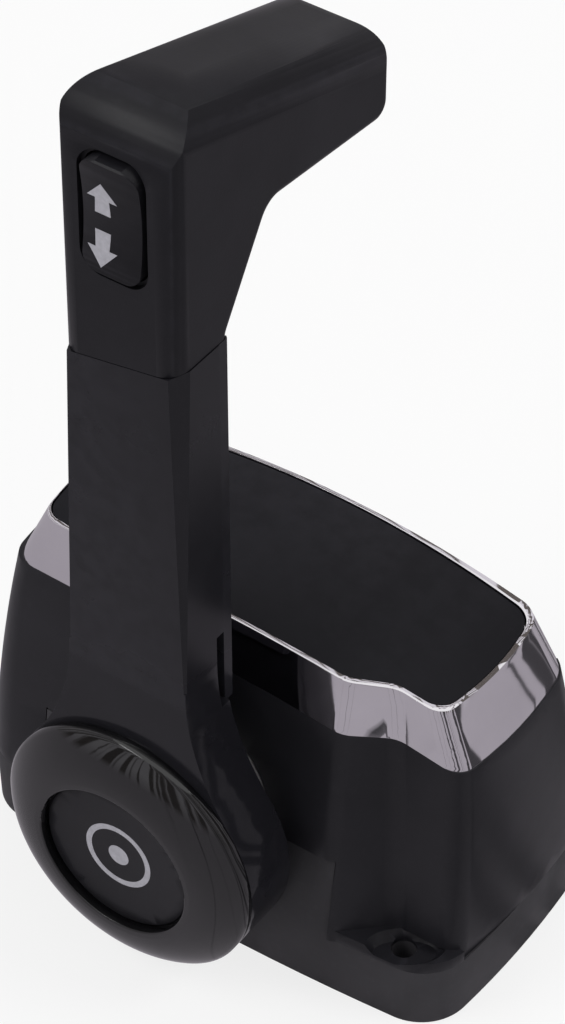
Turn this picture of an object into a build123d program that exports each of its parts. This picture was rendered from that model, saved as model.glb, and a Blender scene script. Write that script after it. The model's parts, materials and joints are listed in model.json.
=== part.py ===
from build123d import *
import os
from math import atan, cos, pi, radians, sin, sqrt, tan

# Single-lever, top-mount boat control: a pod on the console top, a lever on a horizontal shaft at its side,
# a push button in the lever's hub and a hooked grip with a trim rocker.
# Millimetres. +Z is up, +X is aft, and the lever hangs on the -Y side. The origin is the centre of the
# mounting plane. "Reach" is the distance from the pod's middle plane towards the lever, so y = -reach.

# ---- clearances ----
part_gap = 0.3
running_gap = 0.05
fit = 0.02
spare = 3.0

# ---- pod ----
base_length = 125.2
base_width = 66.8
base_height = 16.4
base_wall = 3.0
floor_thickness = 3.0
foot_corner = 12.0
cover_overhang = 0.3
cover_side_overhang = 0.4
cover_height = 55.7
cover_end_lean = 4.4
cover_side_lean = 9.0
cover_bulge = 0.8
cover_wall = 2.6
flange_thickness = 2.5
bezel_height = 12.6
bezel_set_in = 1.8
bezel_end_lean = 5.3
bezel_side_lean = 2.7
bezel_wall = 2.4
bezel_skirt = 8.0
top_corner = 7.0
bezel_top_corner = 6.0
panel_end_reach = 0.9
panel_side_lip = 0.9
panel_thickness = 3.0
panel_gap = 0.3
panel_ledge = 3.0
panel_lip = 0.8
crown_radius = 420.0
crown_apex = -8.0
end_bow = 1.9
side_bow = 3.2
nose_bow = 3.9

cover_foot_length = base_length + 2 * cover_overhang
cover_foot_width = base_width + 2 * cover_side_overhang
cover_top_length = cover_foot_length - 2 * cover_end_lean
cover_top_width = cover_foot_width - 2 * cover_side_lean
bezel_foot_length = cover_top_length - 2 * bezel_set_in
bezel_top_length = bezel_foot_length - 2 * bezel_end_lean
bezel_top_width = cover_top_width - 2 * bezel_side_lean
panel_length = bezel_top_length + 2 * panel_end_reach
panel_width = bezel_top_width - 2 * panel_side_lip
seam_height = base_height + cover_height
pod_height = seam_height + bezel_height

# ---- screw flute and mounting ----
flute_foot_run = 26.9
flute_foot_land = 16.9
flute_top_run = 20.4
flute_top_land = 11.4
flute_foot_depth = 9.8
flute_top_depth = 5.2
flute_round = 7.0
flute_end_round = 4.9
foot_ledge = 3.0
mount_inset_x = 12.6
mount_inset_y = 6.9
mount_hole = 2.8
mount_post = 6.0
pocket_shift_x = 0.9
pocket_shift_y = 1.1
pocket_long = 8.6
pocket_short = 5.2
pocket_depth = 2.0
pocket_slope = 1.8
pocket_turn = 35.0
scallop = 6.5

flute_foot_start = cover_foot_length / 2 - flute_foot_run
flute_foot_floor = cover_foot_length / 2 - flute_foot_land
flute_top_start = bezel_top_length / 2 - flute_top_run
flute_top_floor = bezel_top_length / 2 - flute_top_land
flute_foot_reach = cover_foot_width / 2 - flute_foot_depth
flute_top_reach = bezel_top_width / 2 - flute_top_depth
mount_x = base_length / 2 - mount_inset_x
mount_y = base_width / 2 - mount_inset_y

# ---- pod screws and gasket ----
screw_radius = 1.6
screw_head = 3.0
screw_head_height = 1.8
slot_width = 0.9
cover_boss = 4.5
cover_boss_inset = 10.4
cover_boss_y = 9.0
cover_boss_height = 15.6
cover_screw_grip = 5.0
cover_screw_bite = 9.0
bezel_screw_x = 22.0
bezel_screw_inset = 4.8
bezel_screw_radius = 1.25
bezel_screw_head = 2.2
bezel_screw_bite = 6.0
bezel_boss = 3.2
gasket_thickness = 1.0
gasket_margin = 2.0
gasket_land = 2.6

cover_boss_x = cover_foot_length / 2 - cover_boss_inset
bezel_screw_y = cover_top_width / 2 - bezel_screw_inset

# ---- hub and lever ----
hub_x = -3.8
hub_z = 37.6
hub_radius = 31.0
rim_radius = 20.2
button_opening = 18.7
arm_gap = 2.6
arm_thickness = 13.6
ring_side = 2.0
ring_rise = 5.4
ring_bulge = 1.2
lip_depth = 2.6
flare_radius = 60.0
arm_low_half = 14.6
arm_top_half = 14.0
bevel_low = 0.3
bevel_top = 2.0
bevel_slope = 2.1
grip_seam = 169.7
seam_tilt = 10.0
seam_gap = 0.2
seam_room = 15.0
channel_half = 8.2
channel_depth = 7.6
channel_rise = 40.4
outlet_height = 19.0
outlet_depth = 2.6
strip_thickness = 3.2
strip_inset = 0.15
strip_bevel = 0.5
strip_overlap = 1.0
tongue_length = 16.5
tongue_gap = 0.4
tongue_depth = 7.0
tongue_root = 12.0
arm_screw_x = 10.0
arm_screw_low_rise = 27.0
arm_screw_seam_drop = 9.7
arm_screw_bite = 5.0
arm_screw_head = 2.1
grommet_height = 6.0
lead_hole = 2.4

arm_rear = cover_foot_width / 2 + arm_gap
arm_front = arm_rear + arm_thickness
bevel_start = arm_front + ring_side
ring_front = bevel_start + ring_rise
strip_back = arm_rear - strip_thickness
channel_floor_z = hub_z + channel_rise

# ---- hub button and lever fixing ----
button_flange_lap = 0.9
button_flange_thickness = 1.6
button_sink = 2.0
button_skin = 1.8
button_pocket = 12.0
button_edge = 0.4
button_dish = 0.6
rim_round = 0.4
recess_radius = 16.0
recess_depth = 4.2
washer_radius = 12.0
washer_thickness = 1.5
bolt_head_radius = 6.5
bolt_head_height = 3.4
bolt_radius = 4.0
bolt_length = 18.0
coil_radius = 9.5
coil_wire = 0.6
coil_turns = 2.0
coil_height = 2.4

button_radius = button_opening - part_gap
button_flange = button_opening + button_flange_lap
button_groove = button_flange + part_gap
button_face = ring_front - button_sink
button_pocket_floor = button_face - button_skin
recess_reach = arm_front - recess_depth

# ---- grip ----
grip_half = 13.8
grip_wall = 2.8
grip_height = 63.9
grip_drop = 17.0
grip_length = 70.4
grip_end_depth = 42.3
grip_hook_depth = 38.4
grip_hook_run = 13.8
gusset_rise = 2.8
knuckle_round = 14.0
tip_round = 8.0
chin_round = 4.0
crook_round = 5.0
edge_round = 4.5
top_edge_round = 10.0
end_corner = 8.5
rear_edge_round = 2.0
grip_spare = 10.0
hatch_length = 27.0
hatch_half = 8.0
hatch_thickness = 2.0
hatch_end_distance = 18.9
hatch_screw_step = 10.5
hatch_post = 2.9
hatch_post_height = 9.0
hatch_ledge = 2.0
hatch_head_height = 1.2
hatch_screw_head = 2.5

tongue_half = grip_half - grip_wall - fit
grip_apex = grip_seam + grip_height
grip_end = grip_length - arm_front
grip_end_bottom = grip_apex - grip_end_depth
grip_rear = strip_back
grip_inner_y = grip_hook_run - grip_rear
grip_inner_z = grip_apex - grip_hook_depth
gusset_foot = grip_seam + gusset_rise

# ---- trim rocker ----
rocker_rise = 34.7
slot_half_width = 7.9
slot_half_height = 14.4
slot_corner = 5.0
switch_sink = 1.4
switch_depth = 10.2
switch_floor_thickness = 4.0
switch_wall = 0.8
switch_ear = 1.5
switch_ear_thickness = 1.8
rocker_side_gap = 0.35
rocker_end_gap = 0.5
rocker_edge = 0.4
rocker_proud = 1.3
rocker_dish_depth = 1.4
rocker_thickness = 6.3
rocker_pivot_depth = 3.4
rocker_dish_radius = 60.0
rocker_pin = 1.2

rocker_z = grip_seam + rocker_rise
switch_front = arm_front - switch_sink
switch_back = switch_front - switch_depth
switch_floor = switch_back + switch_floor_thickness
rocker_front = arm_front + rocker_proud
rocker_face = rocker_front - rocker_dish_depth
rocker_back = rocker_front - rocker_thickness
rocker_pivot = arm_front - rocker_pivot_depth

# ---- shaft and mechanism, by reach ----
shaft_radius = 7.0
shaft_back = -23.0
hex_sink = 0.4
plate_thickness = 2.5
near_plate = 14.5
far_plate = -19.5
plate_gap = 0.2
plate_right_gap = 5.8
plate_head_room = 8.1
plate_foot_width = 8.5
plate_corner = 12.0
frame_screw_inset = 8.0
frame_bolt_head = 2.7
collar_radius = 22.0
collar_bore = 17.0
collar_sink = 1.0
seal_radius = 12.0
seal_thickness = 4.0
bush_radius = 8.5
bush_flange = 9.6
flange_width = 1.2
spacer_radius = 3.5
spacer_bore = 1.7
spacer_anchor_gap = 6.7
spacer_left_inset = 10.0
spacer_top_inset = 29.5
spacer_right_inset = 5.0
spacer_low = 10.1
spacer_low_left = 11.6
spacer_high_left = 54.1
spacer_high = 60.2
cam_radius = 20.0
cam_back = 9.5
cam_thickness = 3.0
cam_notch = 2.4
cam_notch_lift = 0.8
gear_back = 3.5
gear_thickness = 4.0
gear_module = 1.25
drive_teeth = 18
shift_teeth = 30
pressure_angle = 20.0
backlash = 0.16
addendum = 0.9
dedendum = 1.2
crank_back = -6.0
crank_thickness = 3.5
crank_length = 19.0
crank_boss = 11.0
crank_tip = 4.5
pin_radius = 2.4
pin_front = 2.2
shift_shaft_radius = 5.0
shift_arm_back = -11.0
shift_arm_thickness = 3.0
shift_arm_length = 20.0
shift_boss = 8.0
shift_end = 2.4
shift_pin_length = 4.5
key_width = 3.0
key_height = 3.0
key_back = -6.0
key_front = 12.5
clip_thickness = 1.2
clip_groove = 0.6
clip_width = 2.2
detent_half = 5.0
detent_back = 7.5
detent_gap = 1.8
detent_wall = 1.2
detent_length = 12.6
detent_wire = 0.45
detent_turns = 4.0
detent_step = 25.0
plunger_radius = 2.4
plunger_round = 1.4
plunger_length = 6.5
rim_gap = 0.3
switch_half = 10.0
micro_height = 10.0
micro_thickness = 6.4
micro_gap = 1.8
micro_tip = 1.1
micro_pitch = 4.8
micro_screw = 1.1
micro_z = -29.5
friction_radius = 13.4
friction_pad = 3.2
friction_screw = 2.2
friction_reach = 2.0
anchor_gap = 1.0
anchor_y = 4.0
anchor_half = 11.5
anchor_foot = 9.3
anchor_height = 24.0
cable_hole = 3.4
cable_margin = 0.9
cable_width = 24.0
cable_corner = 4.0
cable_y = 1.0
riser_left = 38.5
riser_right = 38.3
riser_height = 37.6
riser_wall_depth = 8.4

shaft_front = recess_reach - part_gap
hex_back = arm_rear - hex_sink
collar_front = arm_rear - collar_sink
plate_left = mount_x - mount_post - plate_gap + hub_x
plate_right = mount_x - mount_post - plate_right_gap - hub_x
plate_top = seam_height - plate_head_room - hub_z
anchor_x = cover_boss + anchor_gap - cover_boss_x
cable_length = 2 * (hub_x - anchor_x - anchor_foot - cable_margin)
cover_boss_top = base_height + cover_boss_height
riser_clear_y = base_width / 2 - riser_wall_depth

grip_skirt = grip_seam - seam_room
centre_distance = gear_module * (drive_teeth + shift_teeth) / 2
hub_axis = Axis((hub_x, 0, hub_z), (0, -1, 0))
os.makedirs("parts", exist_ok=True)


def reach_plane(reach, x=hub_x, z=hub_z):
    """Plane across the hub axis, drawn as seen from the lever side; extrusions grow towards the lever."""
    return Plane(origin=(x, -reach, z), x_dir=(1, 0, 0), z_dir=(0, -1, 0))


def axial_plane():
    """Plane through the hub axis: local x is the reach and local y the radius."""
    return Plane(origin=(hub_x, 0, hub_z), x_dir=(0, -1, 0), z_dir=(-1, 0, 0))


def along(height, low, low_value, high, high_value):
    """Straight-line value between two heights, also beyond them."""
    return low_value + (high_value - low_value) * (height - low) / (high - low)


def save(piece, name):
    piece.part.label = name
    export_step(piece.part, f"parts/{name}.step")


# ---- pod outlines ----
def bowed_outline(height, half_length, half_width, corner):
    """Rectangle with bowed ends and sides and rounded corners."""
    corner_x = half_length - end_bow
    corner_y = half_width - side_bow
    with BuildSketch(Plane.XY.offset(height)) as outline:
        with BuildLine():
            ThreePointArc((corner_x, -corner_y), (half_length, 0), (corner_x, corner_y))
            ThreePointArc((corner_x, corner_y), (0, half_width), (-corner_x, corner_y))
            ThreePointArc((-corner_x, corner_y), (-half_length, 0), (-corner_x, -corner_y))
            ThreePointArc((-corner_x, -corner_y), (0, -half_width), (corner_x, -corner_y))
        make_face()
        fillet(outline.vertices(), corner)
    return outline.sketch


def fluted_outline(height, half_length, half_width, corner, inset, level):
    """The bowed outline with its lever side stepped in at the aft end for the screw flute.

    The step has the size that the flute has at the given level.
    """
    corner_x = half_length - end_bow
    corner_y = half_width - side_bow
    nose_y = half_width - along(level, base_height, side_bow, seam_height, nose_bow)
    floor_y = along(level, base_height, flute_foot_reach, pod_height, flute_top_reach) - inset
    start_x = along(level, base_height, flute_foot_start, pod_height, flute_top_start) - inset / 2
    floor_x = along(level, base_height, flute_foot_floor, pod_height, flute_top_floor) - inset / 2
    with BuildSketch(Plane.XY.offset(height)) as outline:
        with BuildLine():
            ThreePointArc((corner_x, -floor_y), (half_length, 0), (corner_x, corner_y))
            ThreePointArc((corner_x, corner_y), (0, half_width), (-corner_x, corner_y))
            ThreePointArc((-corner_x, corner_y), (-half_length, 0), (-corner_x, -nose_y))
            TangentArc((0, -half_width), (-corner_x, -nose_y), tangent=(-1, 0))
            Polyline(
                (0, -half_width),
                (start_x, -half_width),
                (floor_x, -floor_y),
                (corner_x, -floor_y),
            )
        make_face()
        ends = outline.vertices().filter_by(lambda v: abs(v.X) > corner_x - part_gap)
        fillet(ends.filter_by(lambda v: v.X < 0 or v.Y > 0), corner)
        aft_corner = outline.vertices().filter_by(lambda v: v.X > corner_x - part_gap and v.Y < -floor_y / 2)
        fillet(aft_corner, min(corner, flute_end_round, (corner_x - floor_x) / 2))
        steps = outline.vertices().filter_by(lambda v: abs(v.X - start_x) < 0.01 and v.Y < 0)
        fillet(steps, flute_round)
        steps = outline.vertices().filter_by(lambda v: abs(v.X - floor_x) < 0.01 and v.Y < 0)
        fillet(steps, min(flute_round, corner_x - floor_x))
    return outline.sketch


def cover_size(height):
    """Half length, half width and corner radius of the cover at a height."""
    share = (height - base_height) / (seam_height - base_height)
    swell = 4 * cover_bulge * share * (1 - share)
    length = along(height, base_height, cover_foot_length, seam_height, cover_top_length)
    width = along(height, base_height, cover_foot_width, seam_height, cover_top_width)
    corner = along(height, base_height, foot_corner, seam_height, top_corner)
    return length / 2 + swell, width / 2 + swell, corner


def cover_section(height, inset, fluted):
    """Horizontal section of the cover at a height, drawn in by the inset."""
    half_length, half_width, corner = cover_size(height)
    corner -= inset / 2
    if fluted:
        return fluted_outline(height, half_length - inset, half_width - inset, corner, inset, height)
    return bowed_outline(height, half_length - inset, half_width - inset, corner)


def cover_loft(inset, fluted, mode=Mode.ADD):
    """The cover's outer form, drawn in by the inset, from the foot to above the seam."""
    high = seam_height + spare
    heights = (base_height, (base_height + high) / 2, high)
    loft([cover_section(height, inset, fluted) for height in heights], mode=mode)


def bezel_section(height, inset):
    """Horizontal section of the bezel's sloping band at a height, drawn in by the inset."""
    length = along(height, seam_height, bezel_foot_length, pod_height, bezel_top_length)
    width = along(height, seam_height, cover_top_width, pod_height, bezel_top_width)
    corner = along(height, seam_height, top_corner, pod_height, bezel_top_corner)
    return fluted_outline(height, length / 2 - inset, width / 2 - inset, corner - inset / 2, inset, height)


def bezel_loft(inset, mode=Mode.ADD):
    """The bezel's sloping band, drawn in by the inset, from below the seam to above the crown."""
    heights = (seam_height - bezel_skirt, pod_height + spare)
    loft([bezel_section(height, inset) for height in heights], ruled=True, mode=mode)


def under_crown(apex_height, mode):
    """Everything below the crowned surface that peaks at the given height."""
    with BuildSketch(Plane.XZ) as disc:
        with Locations((crown_apex, apex_height - crown_radius)):
            Circle(crown_radius)
    extrude(disc.sketch, amount=base_width, both=True, mode=mode)


def crown_fall(x):
    """How far the crown has dropped below its peak at a place along the pod."""
    return crown_radius - sqrt(crown_radius**2 - (x - crown_apex) ** 2)


def panel_outline(height, inset):
    """Outline of the top panel, drawn in by the inset."""
    corner = bezel_top_corner - inset / 2
    half_length = panel_length / 2 - inset
    half_width = panel_width / 2 - inset
    return fluted_outline(height, half_length, half_width, corner, inset + panel_lip, pod_height)


def mount_points():
    return GridLocations(2 * mount_x, 2 * mount_y, 2, 2)


def open_mount_points():
    """The mounting holes that are reached from outside; the fourth is under the cover, beside the hub."""
    return Locations((-mount_x, mount_y), (mount_x, mount_y), (mount_x, -mount_y))


def cover_boss_points():
    return GridLocations(2 * cover_boss_x, 2 * cover_boss_y, 2, 2)


def bezel_screw_points():
    return GridLocations(2 * bezel_screw_x, 2 * bezel_screw_y, 2, 2)


def frame_screw_points():
    """Screws through the feet of the two mechanism plates."""
    near_y = -near_plate - plate_thickness - plate_foot_width / 2
    far_y = -far_plate + plate_foot_width / 2
    left = hub_x - plate_left + frame_screw_inset
    right = hub_x + plate_right - frame_screw_inset
    return Locations((left, near_y), (right, near_y), (left, far_y), (right, far_y))


def anchor_screw_points():
    """Screws through the foot of the cable anchor."""
    foot_x = anchor_x + (anchor_foot + plate_thickness) / 2
    return Locations((foot_x, anchor_y - anchor_half / 2), (foot_x, anchor_y + anchor_half / 2))


def gasket_outline(gap):
    """The gasket's plan, with its window round the cable opening and its screw holes, drawn in by the gap."""
    edge = gasket_margin + gap
    with BuildSketch() as plan:
        add(bowed_outline(0, base_length / 2 - edge, base_width / 2 - edge, foot_corner - edge))
        window = 2 * (gasket_land + gap)
        with Locations((hub_x, cable_y)):
            RectangleRounded(cable_length + window, cable_width + window, cable_corner, mode=Mode.SUBTRACT)
        with mount_points():
            Circle(mount_hole + gasket_land + gap, mode=Mode.SUBTRACT)
        with cover_boss_points():
            Circle(screw_head + gasket_land / 2 + gap, mode=Mode.SUBTRACT)
    return plan.sketch


# ---- base ----
with BuildPart() as riser_wall:
    cover_loft(0, False)
    with BuildSketch(Plane.XZ):
        with Locations((hub_x - riser_left, base_height)):
            Rectangle(riser_left + riser_right, riser_height - base_height, align=(Align.MIN, Align.MIN))
    extrude(amount=base_width, mode=Mode.INTERSECT)
    cover_loft(base_wall, False, Mode.SUBTRACT)

with BuildPart() as base_frame:
    foot = bowed_outline(0, base_length / 2, base_width / 2, foot_corner)
    rim = bowed_outline(base_height, cover_foot_length / 2, cover_foot_width / 2, foot_corner)
    loft([foot, rim], ruled=True)
    cavity_x = base_length / 2 - base_wall
    cavity_y = base_width / 2 - base_wall
    with BuildSketch(Plane.XY.offset(floor_thickness)):
        add(bowed_outline(0, cavity_x, cavity_y, foot_corner - base_wall))
        with mount_points():
            Circle(mount_post, mode=Mode.SUBTRACT)
        with cover_boss_points():
            Circle(cover_boss, mode=Mode.SUBTRACT)
    extrude(amount=base_height, mode=Mode.SUBTRACT)
    add(riser_wall.part)
    with BuildSketch(reach_plane(0)):
        Circle(collar_radius + part_gap)
    extrude(amount=base_width, mode=Mode.SUBTRACT)
    with BuildSketch():
        with Locations((hub_x, cable_y)):
            RectangleRounded(cable_length, cable_width, cable_corner)
        with mount_points():
            Circle(mount_hole)
        with cover_boss_points():
            Circle(screw_radius + fit)
        with frame_screw_points():
            Circle(screw_radius + fit)
        with anchor_screw_points():
            Circle(screw_radius + fit)
    extrude(amount=base_height, mode=Mode.SUBTRACT)
    with BuildSketch():
        with cover_boss_points():
            Circle(screw_head + part_gap)
    extrude(amount=base_height - cover_screw_grip, mode=Mode.SUBTRACT)
    extrude(gasket_outline(0), amount=gasket_thickness, mode=Mode.SUBTRACT)

with BuildPart() as base_gasket:
    extrude(gasket_outline(fit), amount=gasket_thickness)

save(base_frame, "base_frame")
save(base_gasket, "base_gasket")


# ---- side cover ----
def pocket_outline(rise, inset):
    """Oval of the screw pocket at a height above the cover's foot, drawn in by the inset."""
    with BuildSketch(Plane.XY.offset(base_height + rise)) as oval:
        centre = (mount_x + pocket_shift_x, -mount_y - pocket_shift_y, 0)
        with Locations(Location(centre, (0, 0, pocket_turn))):
            Ellipse(pocket_long - inset, pocket_short - inset)
    return oval.sketch


with BuildPart() as cover_cavity:
    cover_loft(cover_wall, True)
    under_crown(seam_height - flange_thickness, Mode.INTERSECT)
    with BuildSketch(Plane.XY.offset(base_height)):
        with open_mount_points():
            Circle(mount_post)
    extrude(amount=foot_ledge, mode=Mode.SUBTRACT)
    with BuildSketch(Plane.XY.offset(base_height)):
        with Locations((-mount_x, mount_y), (mount_x, mount_y)):
            Circle(scallop + cover_wall)
    extrude(amount=seam_height, mode=Mode.SUBTRACT)
    with BuildSketch(Plane.XY.offset(base_height)):
        with cover_boss_points():
            Circle(cover_boss)
        with GridLocations(2 * cover_boss_x + 2 * cover_boss, 2 * cover_boss_y, 2, 2):
            Rectangle(2 * cover_boss, cover_boss)
    extrude(amount=cover_boss_top - base_height, mode=Mode.SUBTRACT)

with BuildPart() as side_cover:
    cover_loft(0, True)
    with BuildSketch(Plane.XY.offset(base_height)):
        add(bowed_outline(0, *cover_size(base_height)))
        with Locations((flute_foot_start - cover_wall, cover_wall - flute_foot_reach)):
            Rectangle(cover_foot_length, base_width, align=(Align.MIN, Align.MAX), mode=Mode.INTERSECT)
    extrude(amount=foot_ledge)
    under_crown(seam_height, Mode.INTERSECT)
    add(cover_cavity.part, mode=Mode.SUBTRACT)
    extrude(panel_outline(base_height, panel_ledge + cover_wall), amount=pod_height, mode=Mode.SUBTRACT)
    with BuildSketch(Plane.XZ.offset(riser_clear_y)):
        with Locations((hub_x - riser_left - part_gap, 0)):
            riser_room = riser_left + riser_right + 2 * part_gap
            Rectangle(riser_room, riser_height + part_gap, align=(Align.MIN, Align.MIN))
    extrude(amount=base_width, mode=Mode.SUBTRACT)
    with BuildSketch(reach_plane(0)):
        Circle(collar_radius + part_gap)
    extrude(amount=base_width, mode=Mode.SUBTRACT)
    with BuildSketch(Plane.XY.offset(base_height + foot_ledge)):
        with Locations((-mount_x, mount_y), (mount_x, mount_y)):
            Circle(scallop)
    extrude(amount=seam_height, mode=Mode.SUBTRACT)
    pocket_floor = pocket_outline(foot_ledge - pocket_depth, pocket_slope)
    loft([pocket_floor, pocket_outline(foot_ledge + fit, 0)], mode=Mode.SUBTRACT)
    with BuildSketch(Plane.XY.offset(base_height)):
        with open_mount_points():
            Circle(mount_hole)
    extrude(amount=foot_ledge, mode=Mode.SUBTRACT)
    with BuildSketch(Plane.XY.offset(base_height)):
        with cover_boss_points():
            Circle(screw_radius)
    extrude(amount=cover_screw_bite, mode=Mode.SUBTRACT)
    with BuildSketch(Plane.XY.offset(base_height)):
        with bezel_screw_points():
            Circle(bezel_screw_radius + fit)
    extrude(amount=pod_height, mode=Mode.SUBTRACT)

save(side_cover, "side_cover")


# ---- bezel and top cover ----
with BuildPart() as bezel_cavity:
    bezel_loft(bezel_wall)
    under_crown(pod_height - panel_thickness - bezel_wall, Mode.INTERSECT)
    with BuildSketch():
        with bezel_screw_points():
            Circle(bezel_boss)
    extrude(amount=pod_height, mode=Mode.SUBTRACT)

with BuildPart() as panel_seat:
    extrude(panel_outline(0, 0), amount=2 * pod_height)
    under_crown(pod_height - panel_thickness, Mode.SUBTRACT)

with BuildPart() as chrome_bezel:
    bezel_loft(0)
    under_crown(pod_height, Mode.INTERSECT)
    under_crown(seam_height, Mode.SUBTRACT)
    add(bezel_cavity.part, mode=Mode.SUBTRACT)
    extrude(panel_outline(0, panel_ledge), amount=2 * pod_height, mode=Mode.SUBTRACT)
    add(panel_seat.part, mode=Mode.SUBTRACT)
    with BuildSketch():
        with bezel_screw_points():
            Circle(bezel_screw_radius)
    extrude(amount=seam_height + bezel_screw_bite, mode=Mode.SUBTRACT)

with BuildPart() as top_cover:
    extrude(panel_outline(0, panel_gap), amount=2 * pod_height)
    under_crown(pod_height - panel_gap, Mode.INTERSECT)
    under_crown(pod_height - panel_thickness, Mode.SUBTRACT)

save(chrome_bezel, "chrome_bezel")
save(top_cover, "top_cover")


# ---- mechanism plates, collar, bushes ----
def drum(radius, back, front, x=0.0, z=0.0, mode=Mode.ADD):
    """Round disc or pin along the hub axis between two reaches; x and z are measured from the axis."""
    with BuildSketch(reach_plane(back)) as disc:
        with Locations((x, z)):
            Circle(radius)
    extrude(disc.sketch, amount=front - back, mode=mode)


def tube_between(outer, inner, back, front, x=0.0, z=0.0):
    """Round ring along the hub axis between two reaches."""
    drum(outer, back, front, x, z)
    drum(inner, back, front, x, z, Mode.SUBTRACT)


def plate_block(back):
    """Plate across the hub axis, standing on the pod's floor."""
    plate_bottom = floor_thickness - hub_z
    with BuildSketch(reach_plane(back)) as outline:
        with Locations((-plate_left, plate_bottom)):
            Rectangle(plate_left + plate_right, plate_top - plate_bottom, align=(Align.MIN, Align.MIN))
        upper = outline.vertices().group_by(Axis.Y)[-1]
        chamfer(upper, plate_corner)
    extrude(outline.sketch, amount=plate_thickness)


def plate_foot(back):
    """Foot of a plate on the pod's floor, from a reach towards the lever."""
    with BuildSketch(reach_plane(back, z=floor_thickness)) as foot_strip:
        with Locations((-plate_left, 0)):
            Rectangle(plate_left + plate_right, plate_thickness, align=(Align.MIN, Align.MIN))
    extrude(foot_strip.sketch, amount=plate_foot_width)


spacer_places = [
    (anchor_x + plate_thickness + spacer_anchor_gap - hub_x, spacer_low_left - hub_z),
    (spacer_left_inset - plate_left, spacer_high_left - hub_z),
    (plate_right - spacer_top_inset, spacer_high - hub_z),
    (plate_right - spacer_right_inset, spacer_low - hub_z),
]
shaft_hole = bush_radius
shift_x = centre_distance

near_face = near_plate + plate_thickness
far_face = far_plate + plate_thickness

with BuildPart() as near_frame_plate:
    plate_block(near_plate)
    plate_foot(near_face)
    drum(shaft_hole, near_plate, near_face, mode=Mode.SUBTRACT)
    drum(shift_shaft_radius + running_gap, near_plate, near_face, shift_x, mode=Mode.SUBTRACT)
    drum(friction_screw + fit, near_plate, near_face, 0, friction_radius, Mode.SUBTRACT)
    for x, z in spacer_places:
        drum(screw_radius + fit, near_plate, near_face, x, z, Mode.SUBTRACT)
    for x in (-micro_pitch, micro_pitch):
        drum(micro_screw + fit, near_plate, near_face, x, micro_z, Mode.SUBTRACT)
    with BuildSketch():
        with frame_screw_points():
            Circle(screw_radius + fit)
    extrude(amount=floor_thickness + plate_thickness, mode=Mode.SUBTRACT)

with BuildPart() as far_frame_plate:
    plate_block(far_plate)
    plate_foot(far_plate - plate_foot_width)
    drum(shaft_hole, far_plate, far_face, mode=Mode.SUBTRACT)
    drum(shift_shaft_radius + running_gap, far_plate, far_face, shift_x, mode=Mode.SUBTRACT)
    for x, z in spacer_places:
        drum(screw_radius + fit, far_plate, far_face, x, z, Mode.SUBTRACT)
    with BuildSketch():
        with frame_screw_points():
            Circle(screw_radius + fit)
    extrude(amount=floor_thickness + plate_thickness, mode=Mode.SUBTRACT)

with BuildPart() as frame_spacers:
    for x, z in spacer_places:
        tube_between(spacer_radius, spacer_bore, far_face, near_plate, x, z)

with BuildPart() as boss_collar:
    drum(collar_radius, near_face, collar_front)
    drum(collar_bore, near_face, collar_front - seal_thickness - fit, mode=Mode.SUBTRACT)
    drum(seal_radius + fit, near_face, collar_front, mode=Mode.SUBTRACT)

with BuildPart() as shaft_seal:
    tube_between(seal_radius, shaft_radius + running_gap, collar_front - seal_thickness, collar_front)

with BuildPart() as near_bush:
    drum(bush_radius - fit, near_plate, near_face)
    drum(bush_flange, near_plate - flange_width, near_plate)
    drum(shaft_radius + running_gap, near_plate - flange_width, near_face, mode=Mode.SUBTRACT)

with BuildPart() as far_bush:
    drum(bush_radius - fit, far_plate, far_face)
    drum(bush_flange, far_face, far_face + flange_width)
    drum(shaft_radius + running_gap, far_plate, far_face + flange_width, mode=Mode.SUBTRACT)

save(near_frame_plate, "near_frame_plate")
save(far_frame_plate, "far_frame_plate")
save(frame_spacers, "frame_spacers")
save(boss_collar, "boss_collar")
save(shaft_seal, "shaft_seal")
save(near_bush, "near_bush")
save(far_bush, "far_bush")


# ---- detent, switch, friction, cable anchor ----
cam_middle = cam_back + cam_thickness / 2

with BuildPart() as detent_housing:
    with BuildSketch(reach_plane(detent_back)):
        with Locations((-cam_radius - detent_gap, 0)):
            Rectangle(detent_length, 2 * detent_half, align=(Align.MAX, Align.CENTER))
    extrude(amount=near_plate - detent_back)
    with BuildSketch(Plane(origin=(hub_x - cam_radius, -cam_middle, hub_z), z_dir=(-1, 0, 0))):
        Circle(plunger_radius + running_gap)
    extrude(amount=detent_gap + detent_length - detent_wall, mode=Mode.SUBTRACT)

with BuildPart() as detent_plunger:
    with BuildSketch(Plane(origin=(hub_x - cam_radius - rim_gap, -cam_middle, hub_z), z_dir=(-1, 0, 0))):
        Circle(plunger_radius)
    extrude(amount=plunger_length)
    tip = detent_plunger.faces().sort_by(Axis.X)[-1]
    fillet(tip.edges(), plunger_round)

spring_room = detent_gap + detent_length - detent_wall - rim_gap - plunger_length - 2 * fit
with BuildPart() as detent_spring:
    spring_start = hub_x - cam_radius - rim_gap - plunger_length - fit - detent_wire
    with BuildLine():
        coil = Helix(
            pitch=(spring_room - 2 * detent_wire) / detent_turns,
            height=spring_room - 2 * detent_wire,
            radius=plunger_radius - 2 * detent_wire,
            center=(spring_start, -cam_middle, hub_z),
            direction=(-1, 0, 0),
        )
    with BuildSketch(coil ^ 0):
        Circle(detent_wire)
    sweep()

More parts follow.
